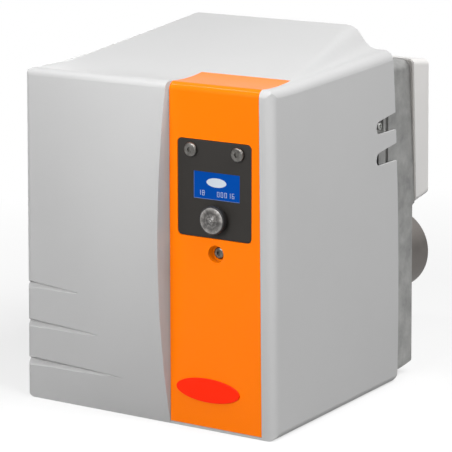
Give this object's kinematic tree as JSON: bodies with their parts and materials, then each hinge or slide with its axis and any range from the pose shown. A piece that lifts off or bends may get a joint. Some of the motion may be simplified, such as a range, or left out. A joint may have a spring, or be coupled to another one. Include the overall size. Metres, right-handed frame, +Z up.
{
  "type": "forced draught oil burner",
  "caption": "Forced-draught light-oil burner: plastic hood with control panel over a cast fan housing, motor, pump and ignition, rear air box, blast tube and boiler door flange.",
  "frame": {"origin": "where the axis of the blast tube meets the boiler door, at the door face of the flange gasket", "axes": "+Y along the blast tube into the boiler, +X to the right of a person who faces the hood, +Z up"},
  "size_m": [0.2968, 0.4795, 0.3747],
  "materials": {
    "grey_plastic": "satin moulded ABS, light grey",
    "orange_plastic": "satin moulded ABS, orange",
    "badge_red": "gloss red plastic",
    "zinc_steel": "zinc-plated steel",
    "black_plastic": "fine-textured black plastic",
    "display_blue": "lit blue display behind clear plastic",
    "clear_grey_plastic": "translucent grey plastic",
    "control_blue_grey": "dark grey moulded plastic",
    "white_nylon": "white nylon",
    "cast_aluminium": "die-cast, vibratory finished",
    "motor_grey": "extruded finned aluminium",
    "lamination_steel": "stacked laminations",
    "ground_steel": "ground steel",
    "galvanised_sheet": "galvanised pressed steel",
    "black_nylon": "glass-filled nylon",
    "pump_casting": "machined grey casting",
    "copper_tube": "drawn copper tube",
    "brass_turned": "turned brass",
    "stainless_steel": "stainless sheet",
    "white_ceramic": "glazed ceramic with steel rods",
    "tube_steel": "rolled stainless tube",
    "gasket_fibre": "mineral fibre sheet",
    "air_box_plastic": "light grey moulded plastic",
    "seal_rubber": "soft black foam rubber"
  },
  "bodies": {
    "burner": {"display_fascia": "black_plastic", "lcd_module": "display_blue", "control_unit": "control_blue_grey", "control_bracket": "zinc_steel", "connector_socket": "white_nylon", "housing": "cast_aluminium", "base_plate": "cast_aluminium", "motor_plate": "cast_aluminium", "motor_end_shield": "cast_aluminium", "motor_case": "motor_grey", "motor_stator": "lamination_steel", "fan_inlet_ring": "galvanised_sheet", "capacitor": "white_nylon", "ignition_transformer": "black_nylon", "oil_pump": "pump_casting", "solenoid_valve": "black_nylon", "oil_pipe": "copper_tube", "line_block": "brass_turned", "nozzle_cover": "zinc_steel", "flame_detector": "black_nylon", "blast_tube": "tube_steel", "mount_flange": "cast_aluminium", "flange_gasket": "gasket_fibre", "air_box": "air_box_plastic", "air_box_seal": "seal_rubber", "servomotor": "black_nylon", "fascia_screws": "zinc_steel", "motor_screws": "zinc_steel", "pump_screws": "zinc_steel", "base_plate_screws": "zinc_steel", "tube_screws": "zinc_steel", "flange_clamp_screw": "zinc_steel", "air_box_screws": "zinc_steel", "rim_screws": "zinc_steel"},
    "hood": {"hood_shell": "grey_plastic", "orange_strip": "orange_plastic", "badge": "badge_red", "hood_screw": "zinc_steel"},
    "button": {"reset_button": "clear_grey_plastic"},
    "rotor": {"motor_shaft": "ground_steel", "motor_armature": "lamination_steel", "fan_wheel": "galvanised_sheet", "pump_coupling": "black_nylon"},
    "flap": {"air_flap": "galvanised_sheet"},
    "nozzle_set": {"nozzle_line": "ground_steel", "nozzle": "brass_turned", "diffuser": "stainless_steel", "diffuser_holder": "stainless_steel", "electrodes": "white_ceramic", "electrode_clamp": "zinc_steel", "adjusting_yoke": "zinc_steel"},
    "adjuster": {"adjusting_screw": "zinc_steel"}
  },
  "joints": [
    {"name": "hood_removal", "type": "slide", "parent": "burner", "child": "hood", "axis": [0, -1, 0], "range_m": [0, 0.3]},
    {"name": "reset_press", "type": "slide", "parent": "burner", "child": "button", "axis": [0, 1, 0], "range_m": [0, 0.003], "stiffness_N_per_m": 600, "springref_m": -0.001},
    {"name": "rotor_spin", "type": "hinge", "parent": "burner", "child": "rotor", "pos_m": [-0.077, -0.15, 0.139], "axis": [0, 1, 0], "continuous": true},
    {"name": "flap_turn", "type": "hinge", "parent": "burner", "child": "flap", "pos_m": [0.072, -0.03, 0.149], "axis": [0, 1, 0], "range_deg": [0, 90]},
    {"name": "nozzle_adjust", "type": "slide", "parent": "burner", "child": "nozzle_set", "axis": [0, 1, 0], "range_m": [0, 0.016]},
    {"name": "adjuster_turn", "type": "hinge", "parent": "burner", "child": "adjuster", "pos_m": [0.022, -0.16, 0.018], "axis": [0, 1, 0], "range_deg": [0, 720]}
  ],
  "couplings": [
    {"joint": "adjuster_turn", "follows": "nozzle_adjust", "rad_per_m": 785.4}
  ]
}
